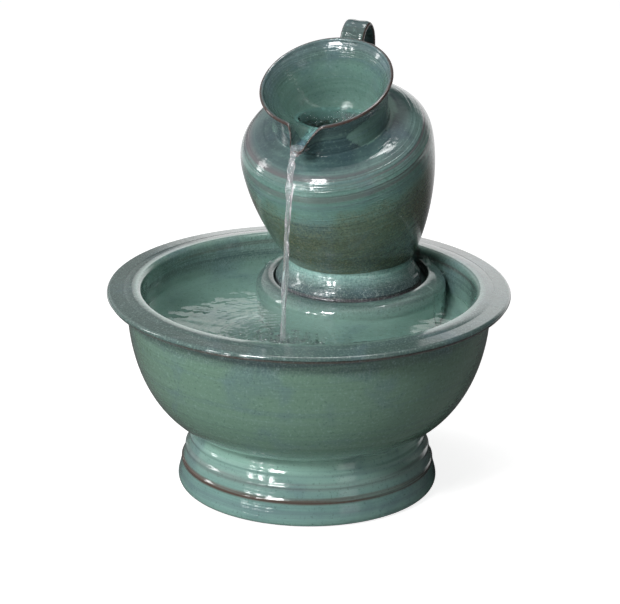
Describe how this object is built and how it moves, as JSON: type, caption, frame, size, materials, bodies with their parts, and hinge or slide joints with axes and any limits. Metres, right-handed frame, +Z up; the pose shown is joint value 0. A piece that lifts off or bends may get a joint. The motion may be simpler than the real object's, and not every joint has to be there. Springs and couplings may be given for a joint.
{
  "type": "tabletop water fountain",
  "caption": "Footed stoneware bowl with a pump well in it, on which a tilted jug with a pouring lip and strap handle sits and pours a stream back into the bowl.",
  "frame": {"origin": "centre of the foot's underside, on the surface it stands on", "axes": "+Z up; the jug leans and pours toward -Y; +X is the viewer's right when facing the spout"},
  "size_m": [0.3299, 0.33, 0.3726],
  "materials": {
    "stoneware_bowl": "gloss glaze, sage green over teal",
    "stoneware_jug": "gloss glaze, teal with brown edges",
    "black_rubber": "matt",
    "clear_rubber": "satin",
    "black_nylon": "satin",
    "clear_tube": "clear flexible vinyl",
    "pump_plastic": "fine texture",
    "grey_plastic": "satin",
    "ceramic_shaft": "ground",
    "ferrite": "matt sintered ferrite",
    "sponge": "open-cell foam"
  },
  "bodies": {
    "stand": {"basin": "stoneware_bowl", "foot_pads": "black_rubber", "cord_stopper": "black_rubber", "supply_tube": "clear_tube", "pump_housing": "pump_plastic", "pump_volute": "pump_plastic", "pump_seal": "black_rubber", "rotor_shaft": "ceramic_shaft", "shaft_bushings": "black_rubber", "suction_cups": "clear_rubber", "cord_gland": "black_rubber"},
    "turning_ring": {"seat_ring": "black_rubber"},
    "jug": {"jug_body": "stoneware_jug", "jug_handle": "stoneware_jug", "inlet_fitting": "black_nylon", "inlet_gasket": "black_rubber", "inlet_nut": "black_nylon", "riser_tube": "clear_tube"},
    "rotor": {"rotor_magnet": "ferrite", "impeller": "grey_plastic"},
    "intake": {"intake_cover": "pump_plastic", "intake_sponge": "sponge"},
    "flow_shutter": {"flow_slider": "grey_plastic"}
  },
  "joints": [
    {"name": "jug_turn", "type": "hinge", "parent": "stand", "child": "turning_ring", "pos_m": [0, 0.0785, 0.149], "axis": [0, 0, 1], "range_deg": [-40, 40]},
    {"name": "jug_lift", "type": "slide", "parent": "turning_ring", "child": "jug", "axis": [0, 0, 1], "range_m": [0, 0.05]},
    {"name": "rotor_spin", "type": "hinge", "parent": "stand", "child": "rotor", "pos_m": [0, 0.0785, 0.0905], "axis": [1, 0, 0], "continuous": true},
    {"name": "cover_pull", "type": "slide", "parent": "stand", "child": "intake", "axis": [-1, 0, 0], "range_m": [0, 0.016]},
    {"name": "flow_slide", "type": "slide", "parent": "intake", "child": "flow_shutter", "axis": [0, 0, 1], "range_m": [0, 0.015]}
  ]
}
